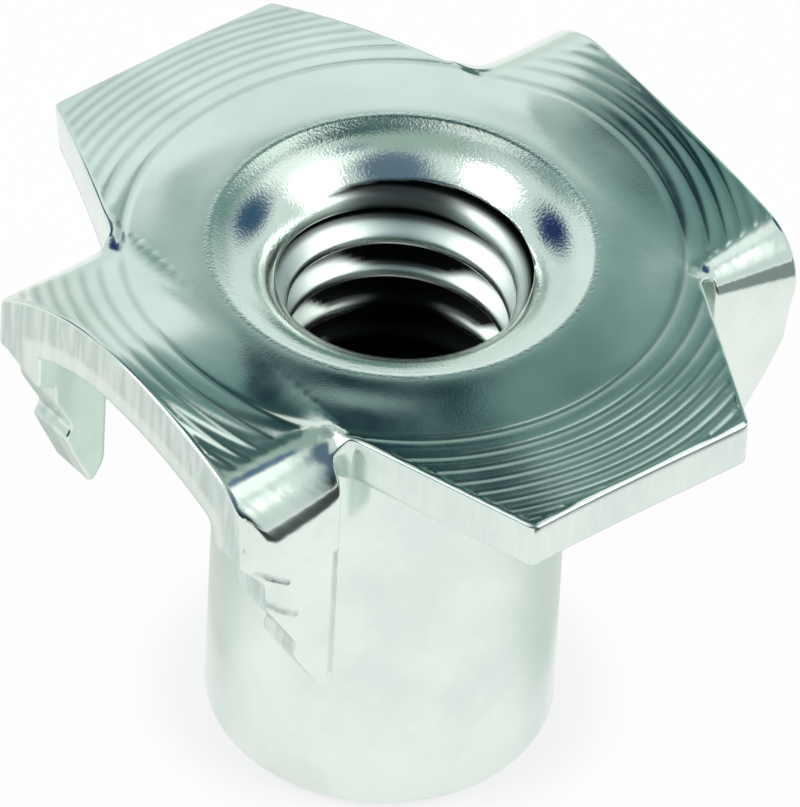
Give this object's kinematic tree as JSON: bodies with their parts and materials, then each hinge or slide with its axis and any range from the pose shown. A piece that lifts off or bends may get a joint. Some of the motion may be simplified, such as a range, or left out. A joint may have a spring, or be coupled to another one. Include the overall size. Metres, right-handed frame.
{
  "type": "tee nut",
  "caption": "Pressed-steel tee nut: threaded barrel under a flange with flat lobes and folded-down prongs, for M6 machine screws in timber.",
  "frame": {"origin": "centre of the barrel's open end, on the thread's axis", "axes": "+Z along the thread's axis, from the barrel's end up to the flange; +X to the less sprung flat lobe; +Y to the pronged lobe that has the short prong"},
  "size_m": [0.0176, 0.0154, 0.0137],
  "materials": {
    "zinc_plate": "bright zinc plate with a faint green-blue passivation tint"
  },
  "bodies": {
    "root": {"tee_nut": "zinc_plate"}
  },
  "joints": []
}
